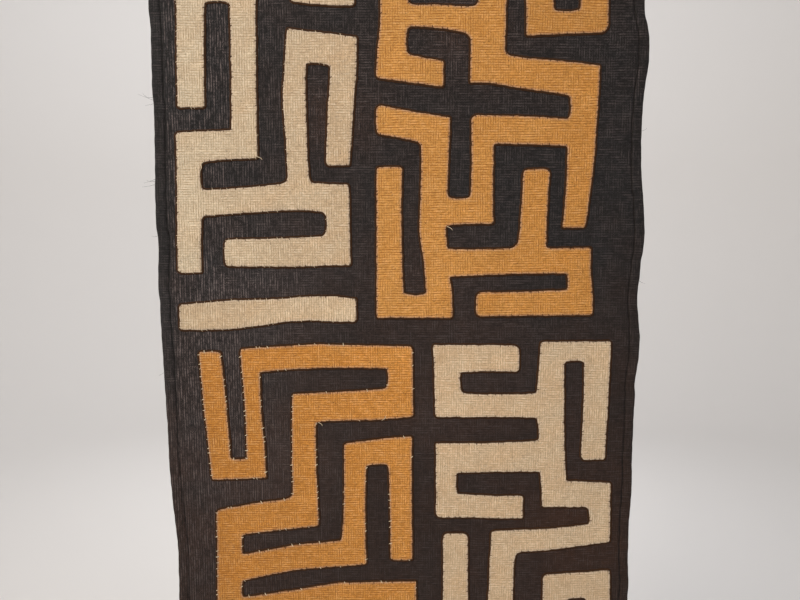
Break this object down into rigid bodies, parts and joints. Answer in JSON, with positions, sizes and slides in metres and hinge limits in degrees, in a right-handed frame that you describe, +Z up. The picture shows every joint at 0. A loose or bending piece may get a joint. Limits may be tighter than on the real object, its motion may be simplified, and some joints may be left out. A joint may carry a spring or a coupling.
{
  "type": "kuba raffia cloth",
  "caption": "Dark raffia panel with narrow folded hems and sewn-on maze motifs in natural and ochre raffia, hanging by its top edge.",
  "frame": {"origin": "middle of the top edge, in the plane of the cloth's front face there", "axes": "+X across the cloth to the viewer's right, -Y out of the front that carries the motifs, +Z up along the cloth's length"},
  "size_m": [0.4562, 0.01, 0.74],
  "materials": {
    "ground_raffia": "dark brown-black plain-weave raffia, matt",
    "natural_raffia": "undyed beige plain-weave raffia, slight sheen",
    "ochre_raffia": "ochre-dyed plain-weave raffia, slight sheen"
  },
  "bodies": {
    "root": {"ground_cloth": "ground_raffia", "beige_maze_upper_left": "natural_raffia", "beige_bar_left": "natural_raffia", "beige_bar_top": "natural_raffia", "ochre_maze_upper_right": "ochre_raffia", "ochre_bracket_top_right": "ochre_raffia", "ochre_maze_lower_left": "ochre_raffia", "beige_maze_lower_right": "natural_raffia", "beige_bar_bottom": "natural_raffia", "beige_bracket_bottom_right": "natural_raffia"}
  },
  "joints": []
}
